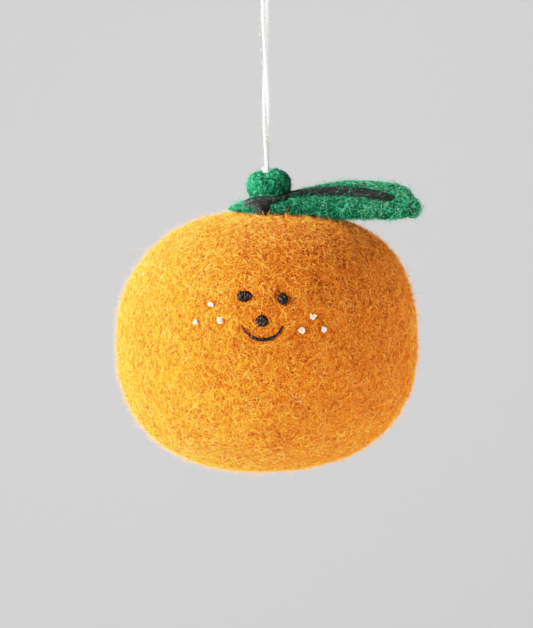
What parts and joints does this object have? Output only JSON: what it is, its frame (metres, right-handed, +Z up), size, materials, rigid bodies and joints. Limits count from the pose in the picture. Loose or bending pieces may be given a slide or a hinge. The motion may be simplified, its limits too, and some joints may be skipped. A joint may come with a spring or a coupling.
{
  "type": "hanging felted wool mandarin ornament",
  "caption": "Felted wool ball shaped as a mandarin, with a stitched face, a thick felt leaf and a felt stem ball on top, hanging from a doubled cotton cord that ends in a loop.",
  "frame": {"origin": "inside the top of the cord's loop, where it hangs on its hook", "axes": "+Z up along the hanging cord, -Y the way the face looks, +X the way the leaf points"},
  "size_m": [0.0659, 0.0653, 0.1123],
  "materials": {
    "orange_wool": "matted felted wool, fuzzy, matte",
    "green_wool_leaf": "thick felted wool, matte",
    "green_wool_ball": "felted wool, matte",
    "black_wool": "loose felted wool, matte",
    "black_thread": "stranded cotton thread, slight sheen",
    "white_thread": "stranded cotton thread, matte",
    "cotton_cord": "twisted cotton string, matte",
    "cotton_knot": "twisted cotton string, matte"
  },
  "bodies": {
    "root": {"felt_body": "orange_wool", "felt_leaf": "green_wool_leaf", "leaf_stripe": "black_wool", "stem_ball": "green_wool_ball", "hanging_cord": "cotton_cord", "cord_knot": "cotton_knot", "eye_left": "black_thread", "eye_right": "black_thread", "nose": "black_thread", "mouth": "black_thread", "cheek_knot_1": "white_thread", "cheek_knot_2": "white_thread", "cheek_knot_3": "white_thread", "cheek_knot_4": "white_thread", "cheek_knot_5": "white_thread", "cheek_knot_6": "white_thread"}
  },
  "joints": []
}
